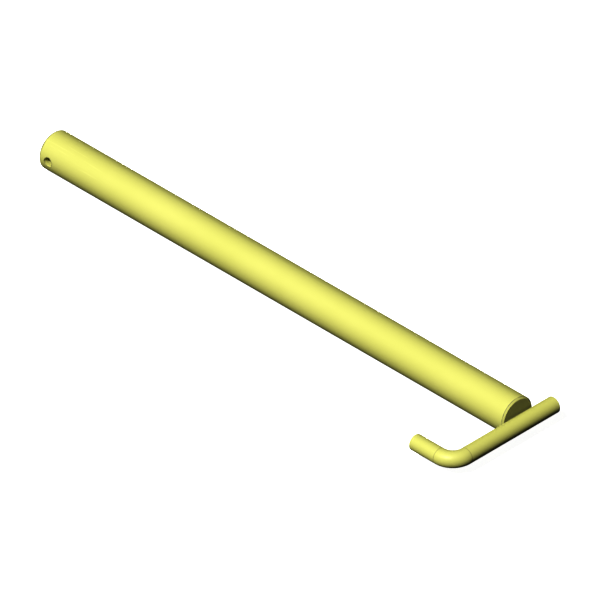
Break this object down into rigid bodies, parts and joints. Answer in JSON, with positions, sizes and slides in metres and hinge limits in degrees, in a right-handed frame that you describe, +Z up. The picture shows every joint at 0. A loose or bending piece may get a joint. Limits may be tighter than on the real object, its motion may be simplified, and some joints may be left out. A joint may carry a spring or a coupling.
{
  "type": "aircraft tow bar",
  "caption": "Hand tow bar: a long round tube with plugged, chamfered ends, a cross hole for a coupling pin, and a bent rod handle welded across the opposite end.",
  "frame": {"origin": "centre of the coupling hole, on the bar's axis", "axes": "+X along the bar from the coupling end to the handle, +Y along the coupling hole, +Z up, square to the plane of the bent handle"},
  "size_m": [0.6017, 0.135, 0.0382],
  "materials": {
    "yellow_paint": "pale yellow paint, satin",
    "handle_paint": "pale yellow paint, satin, a little more worn",
    "weld_paint": "pale yellow paint over rippled weld bead"
  },
  "bodies": {
    "root": {"main_tube": "yellow_paint", "coupling_end_plug": "yellow_paint", "coupling_plug_weld": "yellow_paint", "handle_end_plug": "yellow_paint", "handle_plug_weld": "yellow_paint", "handle_rod": "handle_paint", "handle_weld_upper": "weld_paint", "handle_weld_lower": "weld_paint"}
  },
  "joints": []
}
